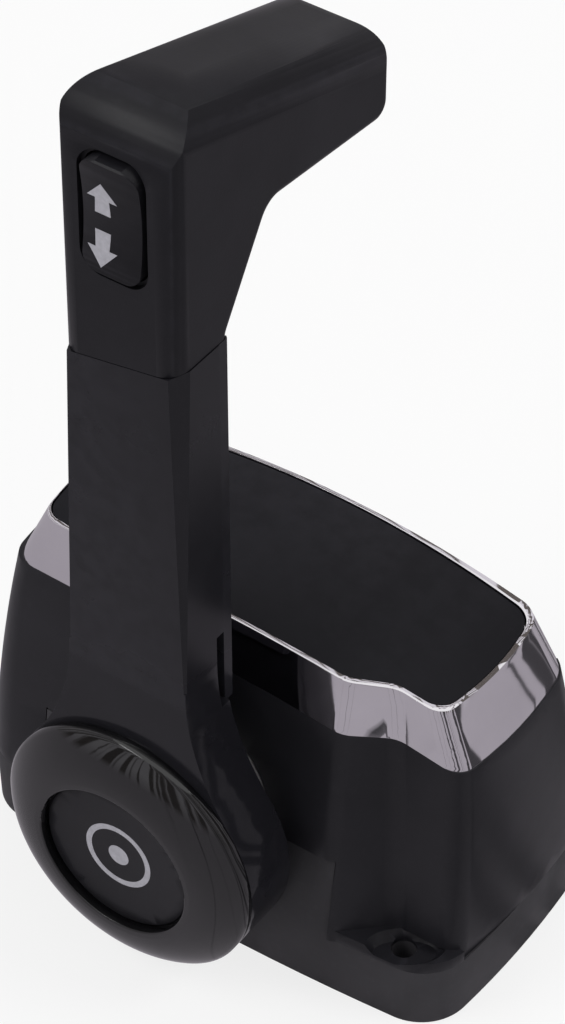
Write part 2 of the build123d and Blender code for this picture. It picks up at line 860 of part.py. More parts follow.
with BuildPart() as neutral_switch:
    with BuildSketch(reach_plane(near_plate - micro_thickness)):
        with Locations((0, -cam_radius - micro_gap)):
            Rectangle(2 * switch_half, micro_height, align=(Align.CENTER, Align.MAX))
    extrude(amount=micro_thickness - fit)
    with BuildSketch(reach_plane(cam_middle - micro_tip)):
        with Locations((switch_half / 2, -cam_radius - rim_gap)):
            Rectangle(2 * micro_tip, micro_gap - rim_gap, align=(Align.CENTER, Align.MAX))
    extrude(amount=2 * micro_tip)
    for x in (-micro_pitch, micro_pitch):
        drum(micro_screw + fit, near_plate - micro_thickness, near_plate, x, micro_z, Mode.SUBTRACT)

with BuildPart() as neutral_switch_screws:
    for x in (-micro_pitch, micro_pitch):
        drum(micro_screw, near_plate - micro_thickness, near_face + fit, x, micro_z)
        drum(2 * micro_screw, near_face + fit, near_face + micro_screw, x, micro_z)

with BuildPart() as friction_shoe:
    drum(friction_pad, cam_back + cam_thickness + rim_gap, near_plate - fit, 0, friction_radius)

with BuildPart() as friction_adjuster:
    drum(friction_screw, near_plate, near_face + friction_reach, 0, friction_radius)
    head_front = near_face + friction_reach + screw_head_height
    drum(screw_head, head_front - screw_head_height, head_front, 0, friction_radius)
    with BuildSketch(reach_plane(head_front)):
        with Locations((0, friction_radius)):
            Rectangle(2 * screw_head, slot_width)
    extrude(amount=-screw_head_height / 2, mode=Mode.SUBTRACT)

with BuildPart() as cable_anchor:
    with BuildSketch(Plane.XY.offset(floor_thickness)):
        with Locations((anchor_x, anchor_y)):
            Rectangle(anchor_foot, 2 * anchor_half, align=(Align.MIN, Align.CENTER))
    extrude(amount=plate_thickness)
    with BuildSketch(Plane.YZ.offset(anchor_x)):
        with Locations((anchor_y, floor_thickness)):
            Rectangle(2 * anchor_half, anchor_height - floor_thickness, align=(Align.CENTER, Align.MIN))
    extrude(amount=plate_thickness)
    with BuildSketch(Plane.YZ.offset(anchor_x)):
        with Locations((-crank_back - crank_thickness / 2 - cable_hole, hub_z - crank_length)):
            Circle(cable_hole)
        with Locations((-shift_arm_back - cable_hole / 2, hub_z - shift_arm_length)):
            Circle(cable_hole)
    extrude(amount=plate_thickness, mode=Mode.SUBTRACT)
    with BuildSketch():
        with anchor_screw_points():
            Circle(screw_radius + fit)
    extrude(amount=anchor_height / 2, mode=Mode.SUBTRACT)


def floor_screws(places, grip_height):
    """Pan-head screws standing in the pod's floor and clamping a foot."""
    with BuildPart() as screws:
        with BuildSketch(Plane.XY.offset(gasket_thickness + fit)):
            with places:
                Circle(screw_radius)
        extrude(amount=grip_height - gasket_thickness - fit)
        with BuildSketch(Plane.XY.offset(grip_height)):
            with places:
                Circle(screw_head)
        extrude(amount=screw_head_height)
    return screws


frame_screws = floor_screws(frame_screw_points(), floor_thickness + plate_thickness)
anchor_screws = floor_screws(anchor_screw_points(), floor_thickness + plate_thickness)

with BuildPart() as cover_screws:
    seat = base_height - cover_screw_grip
    with BuildSketch(Plane.XY.offset(seat)):
        with cover_boss_points():
            Circle(screw_radius - fit)
    extrude(amount=cover_screw_grip + cover_screw_bite - part_gap)
    with BuildSketch(Plane.XY.offset(seat - screw_head_height)):
        with cover_boss_points():
            Circle(screw_head)
    extrude(amount=screw_head_height)

with BuildPart() as bezel_screws:
    for x in (-bezel_screw_x, bezel_screw_x):
        flange_bottom = seam_height - flange_thickness - crown_fall(abs(x) + bezel_screw_head)
        with BuildSketch(Plane.XY.offset(flange_bottom)):
            with Locations((x, -bezel_screw_y), (x, bezel_screw_y)):
                Circle(bezel_screw_radius - fit)
        extrude(amount=flange_thickness + bezel_screw_bite - part_gap)
        with BuildSketch(Plane.XY.offset(flange_bottom - screw_head_height)):
            with Locations((x, -bezel_screw_y), (x, bezel_screw_y)):
                Circle(bezel_screw_head)
        extrude(amount=screw_head_height)

with BuildPart() as frame_bolts:
    for x, z in spacer_places:
        drum(screw_radius, far_plate - screw_head_height, near_face + screw_head_height, x, z)
        drum(frame_bolt_head, near_face, near_face + screw_head_height, x, z)
        with BuildSketch(reach_plane(far_plate - screw_head_height)):
            with Locations((x, z)):
                RegularPolygon(frame_bolt_head, 6)
        extrude(amount=screw_head_height)

save(detent_housing, "detent_housing")
save(detent_plunger, "detent_plunger")
save(detent_spring, "detent_spring")
save(neutral_switch, "neutral_switch")
save(neutral_switch_screws, "neutral_switch_screws")
save(friction_shoe, "friction_shoe")
save(friction_adjuster, "friction_adjuster")
save(cable_anchor, "cable_anchor")
save(frame_screws, "frame_screws")
save(anchor_screws, "anchor_screws")
save(cover_screws, "cover_screws")
save(bezel_screws, "bezel_screws")
save(frame_bolts, "frame_bolts")


# ---- shaft train ----
def key_slot(back, front):
    """Keyway above the shaft between two reaches."""
    with BuildSketch(reach_plane(back)) as slot:
        with Locations((0, shaft_radius)):
            Rectangle(key_width + 2 * fit, key_height + 2 * fit)
    extrude(slot.sketch, amount=front - back, mode=Mode.SUBTRACT)


def tooth_sketch(teeth):
    """One involute tooth pointing along local +x, with its foot inside the root circle."""
    pitch_radius = gear_module * teeth / 2
    base_radius = pitch_radius * cos(radians(pressure_angle))
    tip_radius = pitch_radius + addendum * gear_module
    root_radius = pitch_radius - dedendum * gear_module
    half_pitch = pi / (2 * teeth) - backlash / (4 * pitch_radius)
    start = max(base_radius, root_radius)

    def involute(radius):
        turn = sqrt(max((radius / base_radius) ** 2 - 1, 0))
        return turn - atan(turn)

    def flank(share):
        radius = start + (tip_radius - start) * share
        angle = half_pitch + involute(pitch_radius) - involute(radius)
        return radius * cos(angle), radius * sin(angle)

    upper = [flank(share) for share in (0, 0.25, 0.5, 0.75, 1)]
    lower = [(x, -y) for x, y in reversed(upper)]
    foot_radius = root_radius - part_gap
    foot_angle = half_pitch + involute(pitch_radius)
    foot_point = (foot_radius * cos(foot_angle), foot_radius * sin(foot_angle))
    with BuildSketch() as tooth:
        with BuildLine():
            Line(foot_point, upper[0])
            Spline(*upper)
            Line(upper[-1], lower[0])
            Spline(*lower)
            Polyline(lower[-1], (foot_point[0], -foot_point[1]), foot_point)
        make_face()
    return tooth.sketch


def gear_block(teeth, back, x, first_angle):
    """Spur gear on a shaft parallel to the hub axis."""
    root_radius = gear_module * (teeth / 2 - dedendum)
    with BuildSketch(reach_plane(back)) as gear:
        with Locations((x, 0)):
            Circle(root_radius)
        with Locations((x, 0)):
            with PolarLocations(0, teeth, start_angle=first_angle):
                add(tooth_sketch(teeth))
    extrude(gear.sketch, amount=gear_thickness)


def lever_plate(boss, tip, x, length, back, thickness):
    """Tapered crank hanging down from a shaft."""
    with BuildSketch(reach_plane(back)) as outline:
        with Locations((x, 0)):
            Circle(boss)
        with Locations((x, -length)):
            Circle(tip)
        make_hull()
    extrude(outline.sketch, amount=thickness)


with BuildPart() as main_shaft:
    drum(shaft_radius, shaft_back, hex_back)
    with BuildSketch(reach_plane(hex_back)):
        RegularPolygon(shaft_radius, 6)
    extrude(amount=shaft_front - hex_back)
    drum(bolt_radius, shaft_front - bolt_length, shaft_front, mode=Mode.SUBTRACT)
    key_slot(key_back, key_front)
    clip_back = far_plate - running_gap - clip_thickness - part_gap
    with BuildSketch(reach_plane(clip_back)):
        Circle(shaft_radius + spare)
        Circle(shaft_radius - clip_groove, mode=Mode.SUBTRACT)
    extrude(amount=clip_thickness, mode=Mode.SUBTRACT)

with BuildPart() as shaft_key:
    with BuildSketch(reach_plane(key_back)):
        with Locations((0, shaft_radius)):
            Rectangle(key_width, key_height)
    extrude(amount=key_front - key_back)

with BuildPart() as detent_cam:
    drum(cam_radius, cam_back, cam_back + cam_thickness)
    drum(shaft_radius + fit, cam_back, cam_back + cam_thickness, mode=Mode.SUBTRACT)
    key_slot(cam_back, cam_back + cam_thickness)
    with BuildSketch(reach_plane(cam_back)):
        for turn in (180 - detent_step, 180, 180 + detent_step):
            with PolarLocations(cam_radius + cam_notch_lift, 1, start_angle=turn):
                Circle(cam_notch)
    extrude(amount=cam_thickness, mode=Mode.SUBTRACT)

with BuildPart() as drive_gear:
    gear_block(drive_teeth, gear_back, 0, 0)
    drum(shaft_radius + fit, gear_back, gear_back + gear_thickness, mode=Mode.SUBTRACT)
    key_slot(gear_back, gear_back + gear_thickness)

with BuildPart() as throttle_crank:
    lever_plate(crank_boss, crank_tip, 0, crank_length, crank_back, crank_thickness)
    crank_front = crank_back + crank_thickness
    drum(shaft_radius + fit, crank_back, crank_front, mode=Mode.SUBTRACT)
    drum(pin_radius, crank_back, crank_front, 0, -crank_length, Mode.SUBTRACT)
    key_slot(crank_back, crank_front)

with BuildPart() as throttle_pin:
    drum(pin_radius, crank_back, pin_front, 0, -crank_length)

with BuildPart() as shaft_circlip:
    tube_between(shaft_radius + clip_width, shaft_radius - clip_groove, clip_back, clip_back + clip_thickness)

with BuildPart() as shift_shaft:
    drum(shift_shaft_radius, clip_back - clip_thickness, near_face + shift_end, shift_x)
    for back in (clip_back, near_face + running_gap + part_gap):
        with BuildSketch(reach_plane(back)):
            with Locations((shift_x, 0)):
                Circle(shift_shaft_radius + spare)
                Circle(shift_shaft_radius - clip_groove, mode=Mode.SUBTRACT)
        extrude(amount=clip_thickness, mode=Mode.SUBTRACT)

with BuildPart() as shift_circlips:
    clip_outer = shift_shaft_radius + clip_width
    for back in (clip_back, near_face + running_gap + part_gap):
        tube_between(clip_outer, shift_shaft_radius - clip_groove, back, back + clip_thickness, shift_x)

with BuildPart() as shift_gear:
    gear_block(shift_teeth, gear_back, shift_x, 180 + 180 / shift_teeth)
    drum(shift_shaft_radius + fit, gear_back, gear_back + gear_thickness, shift_x, mode=Mode.SUBTRACT)

with BuildPart() as shift_arm:
    lever_plate(shift_boss, crank_tip, shift_x, shift_arm_length, shift_arm_back, shift_arm_thickness)
    shift_arm_front = shift_arm_back + shift_arm_thickness
    drum(shift_shaft_radius + fit, shift_arm_back, shift_arm_front, shift_x, mode=Mode.SUBTRACT)
    drum(pin_radius, shift_arm_back, shift_arm_front, shift_x, -shift_arm_length, Mode.SUBTRACT)

with BuildPart() as shift_pin:
    drum(pin_radius, shift_arm_back - shift_pin_length, shift_arm_front, shift_x, -shift_arm_length)

save(main_shaft, "main_shaft")
save(shaft_key, "shaft_key")
save(detent_cam, "detent_cam")
save(drive_gear, "drive_gear")
save(throttle_crank, "throttle_crank")
save(throttle_pin, "throttle_pin")
save(shaft_circlip, "shaft_circlip")
save(shift_shaft, "shift_shaft")
save(shift_circlips, "shift_circlips")
save(shift_gear, "shift_gear")
save(shift_arm, "shift_arm")
save(shift_pin, "shift_pin")


# ---- lever arm ----
flare_x = arm_low_half + flare_radius
flare_z = sqrt((hub_radius + flare_radius) ** 2 - flare_x**2)
flare_share = hub_radius / (hub_radius + flare_radius)
flare_top = hub_z + flare_z


def arm_half(height):
    """Half width of the arm at a height above the flare."""
    return along(height, flare_top, arm_low_half, grip_seam, arm_top_half)


def arm_section(height):
    """Horizontal section of the arm with its two front bevels."""
    half = arm_half(height)
    bevel = along(height, flare_top, bevel_low, grip_seam, bevel_top)
    shoulder = arm_front - bevel * bevel_slope
    with BuildSketch(Plane.XY.offset(height)) as outline:
        with BuildLine():
            Polyline(
                (hub_x - half, -arm_rear),
                (hub_x + half, -arm_rear),
                (hub_x + half, -shoulder),
                (hub_x + half - bevel, -arm_front),
                (hub_x - half + bevel, -arm_front),
                (hub_x - half, -shoulder),
                close=True,
            )
        make_face()
    return outline.sketch


def strip_section(height):
    """Horizontal section of the cover on the arm's rear, with its two bevels."""
    half = arm_half(height) - strip_inset
    with BuildSketch(Plane.XY.offset(height)) as outline:
        with BuildLine():
            Polyline(
                (hub_x - half, -arm_rear),
                (hub_x + half, -arm_rear),
                (hub_x + half, -strip_back - strip_bevel),
                (hub_x + half - strip_bevel, -strip_back),
                (hub_x - half + strip_bevel, -strip_back),
                (hub_x - half, -strip_back - strip_bevel),
                close=True,
            )
        make_face()
    return outline.sketch


def cut_at_seam(rise, amount):
    """Cut everything on one side of the tilted seam; the amount's sign tells which side goes."""
    tilt = radians(seam_tilt)
    seam = Plane(
        origin=(hub_x, -arm_rear, grip_seam + rise),
        x_dir=(cos(tilt), 0, sin(tilt)),
        z_dir=(-sin(tilt), 0, cos(tilt)),
    )
    with BuildSketch(seam) as cutter:
        Rectangle(4 * arm_top_half, 4 * arm_top_half)
    extrude(cutter.sketch, amount=amount, mode=Mode.SUBTRACT)


arm_screw_low = channel_floor_z + arm_screw_low_rise
arm_screw_high = grip_seam - arm_screw_seam_drop
arm_screw_points = [
    (-arm_screw_x, arm_screw_low),
    (arm_screw_x, arm_screw_low),
    (-arm_screw_x, arm_screw_high),
    (arm_screw_x, arm_screw_high),
]

with BuildPart() as lever_arm:
    drum(hub_radius, arm_rear, arm_front)
    with BuildSketch(reach_plane(arm_rear)):
        with BuildLine():
            flare_turn = pi + atan(flare_z / flare_x) / 2
            middle_x = flare_x + flare_radius * cos(flare_turn)
            middle_z = flare_z + flare_radius * sin(flare_turn)
            end_x = flare_x * flare_share
            end_z = flare_z * flare_share
            ThreePointArc((arm_low_half, flare_z), (middle_x, middle_z), (end_x, end_z))
            Line((end_x, end_z), (-end_x, end_z))
            ThreePointArc((-end_x, end_z), (-middle_x, middle_z), (-arm_low_half, flare_z))
            Line((-arm_low_half, flare_z), (arm_low_half, flare_z))
        make_face()
    extrude(amount=arm_front - arm_rear)
    loft([arm_section(flare_top), arm_section(grip_seam + seam_room)], ruled=True)
    cut_at_seam(-seam_gap / 2, 2 * seam_room)
    with BuildSketch(Plane.XY.offset(grip_seam - tongue_root)):
        with Locations((hub_x, -arm_front + grip_wall + tongue_gap)):
            corner = edge_round - grip_wall
            RectangleRounded(2 * tongue_half, tongue_depth, corner, align=(Align.CENTER, Align.MIN))
    extrude(amount=tongue_root + tongue_length)
    with BuildSketch(reach_plane(arm_rear, z=channel_floor_z)):
        Rectangle(2 * channel_half, grip_seam - channel_floor_z, align=(Align.CENTER, Align.MIN))
    extrude(amount=channel_depth, mode=Mode.SUBTRACT)
    with BuildSketch(reach_plane(arm_rear, z=channel_floor_z)):
        Rectangle(2 * hub_radius, outlet_height, align=(Align.CENTER, Align.MIN))
    extrude(amount=outlet_depth, mode=Mode.SUBTRACT)
    drum(recess_radius, recess_reach, arm_front, mode=Mode.SUBTRACT)
    with BuildSketch(reach_plane(arm_rear)):
        RegularPolygon(shaft_radius + fit, 6)
    extrude(amount=arm_front - arm_rear, mode=Mode.SUBTRACT)
    for x, height in arm_screw_points:
        drum(screw_radius, arm_rear, arm_rear + arm_screw_bite, x, height - hub_z, Mode.SUBTRACT)

with BuildPart() as arm_rear_cover:
    loft([strip_section(channel_floor_z - strip_overlap), strip_section(grip_seam + seam_room)], ruled=True)
    cut_at_seam(-seam_gap / 2, 2 * seam_room)
    head_seat = strip_back + screw_head_height
    for x, height in arm_screw_points:
        drum(screw_radius + fit, strip_back, arm_rear, x, height - hub_z, Mode.SUBTRACT)
        drum(arm_screw_head + fit, strip_back, head_seat, x, height - hub_z, Mode.SUBTRACT)

with BuildPart() as arm_cover_screws:
    for x, height in arm_screw_points:
        z = height - hub_z
        drum(arm_screw_head, strip_back + fit, strip_back + screw_head_height, x, z)
        drum(screw_radius - fit, strip_back + screw_head_height, arm_rear + arm_screw_bite - part_gap, x, z)
        with BuildSketch(reach_plane(strip_back + fit)):
            with Locations((x, z)):
                SlotOverall(2 * screw_radius, slot_width)
                SlotOverall(2 * screw_radius, slot_width, rotation=90)
        extrude(amount=screw_head_height / 2, mode=Mode.SUBTRACT)

with BuildPart() as lead_grommet:
    grommet_back = arm_rear + fit
    with BuildSketch(reach_plane(grommet_back, z=channel_floor_z + outlet_height)):
        Rectangle(2 * channel_half - 2 * fit, grommet_height, align=(Align.CENTER, Align.MIN))
    extrude(amount=channel_depth - 2 * fit)
    with BuildSketch(Plane.XY.offset(channel_floor_z + outlet_height)):
        with Locations((hub_x, -arm_rear - channel_depth / 2)):
            Circle(lead_hole)
    extrude(amount=grommet_height, mode=Mode.SUBTRACT)

save(lever_arm, "lever_arm")
save(arm_rear_cover, "arm_rear_cover")
save(arm_cover_screws, "arm_cover_screws")
save(lead_grommet, "lead_grommet")


# ---- hub ring, button, lever bolt ----
lip_back = ring_front - lip_depth
flange_front = lip_back - part_gap
flange_back = flange_front - button_flange_thickness
dish_edge = button_radius - button_edge
dish_radius = (dish_edge**2 + button_dish**2) / (2 * button_dish)

bevel_drop = hub_radius - rim_radius
bevel_length = sqrt(ring_rise**2 + bevel_drop**2)
bevel_middle = (
    (bevel_start + ring_front) / 2 + ring_bulge * bevel_drop / bevel_length,
    (hub_radius + rim_radius) / 2 + ring_bulge * ring_rise / bevel_length,
)

with BuildPart() as hub_ring:
    with BuildSketch(axial_plane()):
        with BuildLine():
            Polyline((arm_front, button_groove), (arm_front, hub_radius), (bevel_start, hub_radius))
            ThreePointArc((bevel_start, hub_radius), bevel_middle, (ring_front, rim_radius))
            Polyline(
                (ring_front, rim_radius),
                (ring_front, button_opening),
                (lip_back, button_opening),
                (lip_back, button_groove),
                (arm_front, button_groove),
            )
        make_face()
    revolve(axis=hub_axis)
    front_edges = hub_ring.faces().sort_by(Axis.Y)[0].edges()
    fillet(front_edges, rim_round)

with BuildPart() as throttle_button:
    drum(button_radius, flange_back, button_face)
    chamfer(throttle_button.faces().sort_by(Axis.Y)[0].edges(), button_edge)
    drum(button_flange, flange_back, flange_front)
    drum(button_pocket, flange_back, button_pocket_floor, mode=Mode.SUBTRACT)
    with Locations((hub_x, -button_face + button_dish - dish_radius, hub_z)):
        Sphere(dish_radius, mode=Mode.SUBTRACT)

washer_front = recess_reach + washer_thickness

with BuildPart() as button_spring:
    with BuildLine():
        button_coil = Helix(
            pitch=coil_height / coil_turns,
            height=coil_height,
            radius=coil_radius,
            center=(hub_x, -washer_front - coil_wire - fit, hub_z),
            direction=(0, -1, 0),
        )
    with BuildSketch(button_coil ^ 0):
        Circle(coil_wire)
    sweep()

with BuildPart() as hub_washer:
    tube_between(washer_radius, bolt_radius + fit, recess_reach, washer_front)

with BuildPart() as hub_bolt:
    drum(bolt_radius - fit, shaft_front - bolt_length + part_gap, washer_front)
    drum(bolt_head_radius, washer_front, washer_front + bolt_head_height)
    with BuildSketch(reach_plane(washer_front + bolt_head_height)):
        RegularPolygon(bolt_radius, 6)
    extrude(amount=-bolt_head_height / 2, mode=Mode.SUBTRACT)

save(hub_ring, "hub_ring")
save(throttle_button, "throttle_button")
save(button_spring, "button_spring")
save(hub_washer, "hub_washer")
save(hub_bolt, "hub_bolt")


# ---- grip ----
grip_slope = radians(grip_drop)


def grip_front(inset):
    """Front, top and end of the grip in side view, drawn in by the inset.

    The rear lies well outside the grip.
    """
    end_top = grip_apex - grip_length * tan(grip_slope)
    with BuildSketch(Plane.YZ.offset(hub_x)) as outline:
        with BuildLine():
            Polyline(
                (-arm_front, grip_skirt),
                (-arm_front, grip_apex),
                (grip_end, end_top),
                (grip_end, grip_end_bottom - grip_spare),
                (grip_inner_y, grip_inner_z - grip_spare),
                (grip_inner_y, grip_skirt),
                close=True,
            )
        make_face()
        fillet(outline.vertices().sort_by(Axis.Y)[-1], knuckle_round)
        fillet(outline.vertices().group_by(Axis.X)[-1].sort_by(Axis.Y)[-1], tip_round)
        if inset > 0:
            offset(amount=-inset, kind=Kind.INTERSECTION, mode=Mode.REPLACE)
    return outline.sketch


def grip_across(inset):
    """The grip seen along its sloping top, drawn in by the inset: a bar with two well rounded top edges."""
    half_width = grip_half - inset + fit
    depth = grip_height + seam_room + grip_spare
    top_plane = Plane(
        origin=(hub_x, -arm_front, grip_apex),
        x_dir=(1, 0, 0),
        z_dir=(0, cos(grip_slope), -sin(grip_slope)),
    )
    with BuildSketch(top_plane.offset(-grip_spare)) as section:
        with Locations((0, inset)):
            Rectangle(2 * half_width, depth, align=(Align.CENTER, Align.MIN))
        fillet(section.vertices().group_by(Axis.Y)[0], top_edge_round - inset)
    return section.sketch


def grip_plan(inset):
    """The grip seen from above, drawn in by the inset."""
    half_width = grip_half - inset
    with BuildSketch(Plane.XY.offset(grip_skirt)) as plan:
        with Locations((hub_x, inset - arm_front)):
            Rectangle(2 * half_width, grip_length - 2 * inset, align=(Align.CENTER, Align.MIN))
        front_corners = plan.vertices().group_by(Axis.Y)[0]
        end_corners = plan.vertices().group_by(Axis.Y)[-1]
        fillet(front_corners, edge_round - inset)
        fillet(end_corners, end_corner - inset)
    return plan.sketch


def grip_bar(inset):
    """The grip's form before its rear and underside are cut, drawn in by the inset."""
    extrude(grip_plan(inset), amount=grip_height + seam_room + grip_spare)
    extrude(grip_front(inset), amount=2 * grip_half, both=True, mode=Mode.INTERSECT)
    extrude(grip_across(inset), amount=grip_length / cos(grip_slope) + 2 * grip_spare, mode=Mode.INTERSECT)


def grip_rear_side(inset=0.0):
    """Rear and underside of the grip in side view, drawn in by the inset.

    Front and top lie well outside it.
    """
    with BuildSketch(Plane.YZ.offset(hub_x)) as outline:
        with BuildLine():
            Polyline(
                (-arm_front - grip_spare, grip_skirt),
                (-arm_front - grip_spare, grip_apex + grip_spare),
                (grip_end, grip_apex + grip_spare),
                (grip_end, grip_end_bottom),
                (grip_inner_y, grip_inner_z),
                (-grip_rear, gusset_foot),
                (-grip_rear, grip_skirt),
                close=True,
            )
        make_face()
        fillet(outline.vertices().group_by(Axis.X)[-1].sort_by(Axis.Y)[0], chin_round)
        inner = outline.vertices().filter_by(lambda v: -arm_front + grip_wall < v.X < grip_inner_y + part_gap)
        fillet(inner.filter_by(lambda v: gusset_foot - part_gap < v.Y < grip_inner_z + part_gap), crook_round)
        if inset > 0:
            offset(amount=-inset, kind=Kind.INTERSECTION, mode=Mode.REPLACE)
    return outline.sketch


def side_edges(block):
    """Edges round the block's two flat sides, without those at its foot."""
    around = block.faces().filter_by(Axis.X).edges()
    return around.filter_by(lambda e: e.center().Z > grip_skirt + part_gap)


under_angle = atan((grip_inner_z - grip_end_bottom) / (grip_end - grip_inner_y))
hatch_y = grip_end - hatch_end_distance
hatch_z = along(hatch_y, grip_inner_y, grip_inner_z, grip_end, grip_end_bottom)
hatch_plane = Plane(
    origin=(hub_x, hatch_y, hatch_z),
    x_dir=(1, 0, 0),
    z_dir=(0, -sin(under_angle), -cos(under_angle)),
)
hatch_screws = [(0, -hatch_screw_step), (0, hatch_screw_step)]

with BuildPart() as grip_rear_block:
    extrude(grip_rear_side(), amount=grip_half, both=True)
    fillet(side_edges(grip_rear_block), rear_edge_round)

with BuildPart() as grip_hollow:
    grip_bar(grip_wall)
    extrude(grip_rear_side(grip_wall), amount=grip_half, both=True, mode=Mode.INTERSECT)

with BuildPart() as grip_shell:
    grip_bar(0)
    add(grip_rear_block.part, mode=Mode.INTERSECT)
    add(grip_hollow.part, mode=Mode.SUBTRACT)
    cut_at_seam(seam_gap / 2, -2 * seam_room)
    with BuildSketch(hatch_plane):
        with Locations(*hatch_screws):
            Circle(hatch_post)
    extrude(amount=-hatch_post_height, mode=Mode.ADD)
    with BuildSketch(hatch_plane):
        Rectangle(2 * hatch_half + 2 * fit, hatch_length + 2 * fit)
    extrude(amount=-hatch_thickness, mode=Mode.SUBTRACT)
    with BuildSketch(hatch_plane):
        Rectangle(2 * hatch_half - 2 * hatch_ledge, 2 * hatch_screw_step - 2 * hatch_post)
    extrude(amount=-2 * grip_wall, mode=Mode.SUBTRACT)
    with BuildSketch(hatch_plane):
        with Locations(*hatch_screws):
            Circle(screw_radius)
    extrude(amount=-hatch_post_height, mode=Mode.SUBTRACT)
    with BuildSketch(reach_plane(arm_front, z=rocker_z)):
        RectangleRounded(2 * slot_half_width, 2 * slot_half_height, slot_corner)
    extrude(amount=-2 * grip_wall, mode=Mode.SUBTRACT)

with BuildPart() as grip_under_cover:
    with BuildSketch(hatch_plane):
        Rectangle(2 * hatch_half, hatch_length)
    extrude(amount=-hatch_thickness)
    with BuildSketch(hatch_plane):
        with Locations(*hatch_screws):
            Circle(screw_radius + fit)
    extrude(amount=-hatch_thickness, mode=Mode.SUBTRACT)
    with BuildSketch(hatch_plane):
        with Locations(*hatch_screws):
            Circle(hatch_screw_head + fit)
    extrude(amount=-hatch_head_height, mode=Mode.SUBTRACT)

with BuildPart() as grip_screws:
    with BuildSketch(hatch_plane):
        with Locations(*hatch_screws):
            Circle(screw_radius - fit)
    extrude(amount=-hatch_post_height + part_gap)
    with BuildSketch(hatch_plane):
        with Locations(*hatch_screws):
            Circle(hatch_screw_head)
    extrude(amount=-hatch_head_height)

save(grip_shell, "grip_shell")
save(grip_under_cover, "grip_under_cover")
save(grip_screws, "grip_screws")


# ---- trim rocker ----
body_half_width = slot_half_width - fit
body_half_height = slot_half_height - fit
well_half_width = body_half_width - switch_wall
well_half_height = body_half_height - switch_wall
rocker_half_width = well_half_width - rocker_side_gap
rocker_half_height = well_half_height - rocker_end_gap


def pivot_rod(radius, half_length, mode=Mode.ADD):
    """Rod along X on the rocker's pivot line."""
    with BuildSketch(Plane.YZ.offset(hub_x)) as rod:
        with Locations((-rocker_pivot, rocker_z)):
            Circle(radius)
    extrude(rod.sketch, amount=half_length, both=True, mode=mode)


with BuildPart() as trim_switch_body:
    with BuildSketch(reach_plane(switch_back, z=rocker_z)):
        RectangleRounded(2 * body_half_width, 2 * body_half_height, slot_corner - fit)
    extrude(amount=switch_front - switch_back)
    with BuildSketch(reach_plane(arm_front - grip_wall - switch_ear_thickness, z=rocker_z)):
        Rectangle(2 * (body_half_width + switch_ear), body_half_height)
    extrude(amount=switch_ear_thickness)
    with BuildSketch(reach_plane(switch_floor, z=rocker_z)):
        RectangleRounded(2 * well_half_width, 2 * well_half_height, slot_corner - fit - switch_wall)
    extrude(amount=switch_front - switch_floor, mode=Mode.SUBTRACT)
    pivot_rod(rocker_pin + fit, body_half_width, Mode.SUBTRACT)

with BuildPart() as rocker_pivot_pin:
    pivot_rod(rocker_pin, body_half_width - fit)

with BuildPart() as trim_rocker:
    with BuildSketch(reach_plane(rocker_back, z=rocker_z)):
        rocker_corner = slot_corner - switch_wall - rocker_end_gap
        RectangleRounded(2 * rocker_half_width, 2 * rocker_half_height, rocker_corner)
    extrude(amount=rocker_front - rocker_back)
    chamfer(trim_rocker.faces().sort_by(Axis.Y)[0].edges(), rocker_edge)
    with BuildSketch(Plane.YZ.offset(hub_x)):
        with Locations((-rocker_face - rocker_dish_radius, rocker_z)):
            Circle(rocker_dish_radius)
    extrude(amount=slot_half_width, both=True, mode=Mode.SUBTRACT)
    pivot_rod(rocker_pin + running_gap, body_half_width, Mode.SUBTRACT)

save(trim_switch_body, "trim_switch_body")
save(rocker_pivot_pin, "rocker_pivot_pin")
save(trim_rocker, "trim_rocker")
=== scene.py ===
import json
from math import cos, pi, radians, sin, sqrt

import bmesh
import bpy
from mathutils import Matrix, Vector


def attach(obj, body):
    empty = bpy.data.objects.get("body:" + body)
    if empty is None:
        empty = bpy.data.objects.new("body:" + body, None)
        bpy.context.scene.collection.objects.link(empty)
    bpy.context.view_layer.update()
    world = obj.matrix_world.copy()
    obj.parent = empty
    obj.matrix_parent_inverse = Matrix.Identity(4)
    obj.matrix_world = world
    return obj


# A boat throttle control dressed for the camera. Metres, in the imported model's frame: +Z up, +X aft,
# and the lever hangs on the -Y side of the pod.

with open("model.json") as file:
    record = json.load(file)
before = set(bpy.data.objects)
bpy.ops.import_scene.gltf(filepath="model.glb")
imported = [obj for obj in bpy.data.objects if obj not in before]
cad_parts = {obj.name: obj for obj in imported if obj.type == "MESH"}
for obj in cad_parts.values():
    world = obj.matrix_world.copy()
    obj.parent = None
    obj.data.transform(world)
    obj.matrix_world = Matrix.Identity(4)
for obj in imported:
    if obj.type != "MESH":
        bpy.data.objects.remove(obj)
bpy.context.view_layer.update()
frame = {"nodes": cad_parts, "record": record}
MM = 0.001

# ---- places on the object, as in the part's source ----
HUB_X = -3.8 * MM
HUB_Z = 37.6 * MM
ROCKER_Z = 204.4 * MM
ROCKER_FACE = 49.9 * MM
ROCKER_DISH = 60.0 * MM
BUTTON_FACE = 55.4 * MM
BUTTON_DISH = 0.6 * MM
BUTTON_EDGE_RADIUS = 18.4 * MM
PRINT_THICKNESS = 0.06 * MM
ARROW_X = -6.0 * MM
ARROW_HEAD_HALF = 3.4 * MM
ARROW_STEM_HALF = 1.6 * MM
ARROW_FOOT_HALF = 1.8 * MM
RING_OUTER = 8.4 * MM
RING_INNER = 7.0 * MM
DOT_RADIUS = 2.6 * MM
DOT_STEPS = 40
HUB_POLISH = 0.35
HUB_POLISH_FULL = 36.0 * MM
HUB_POLISH_END = 60.0 * MM


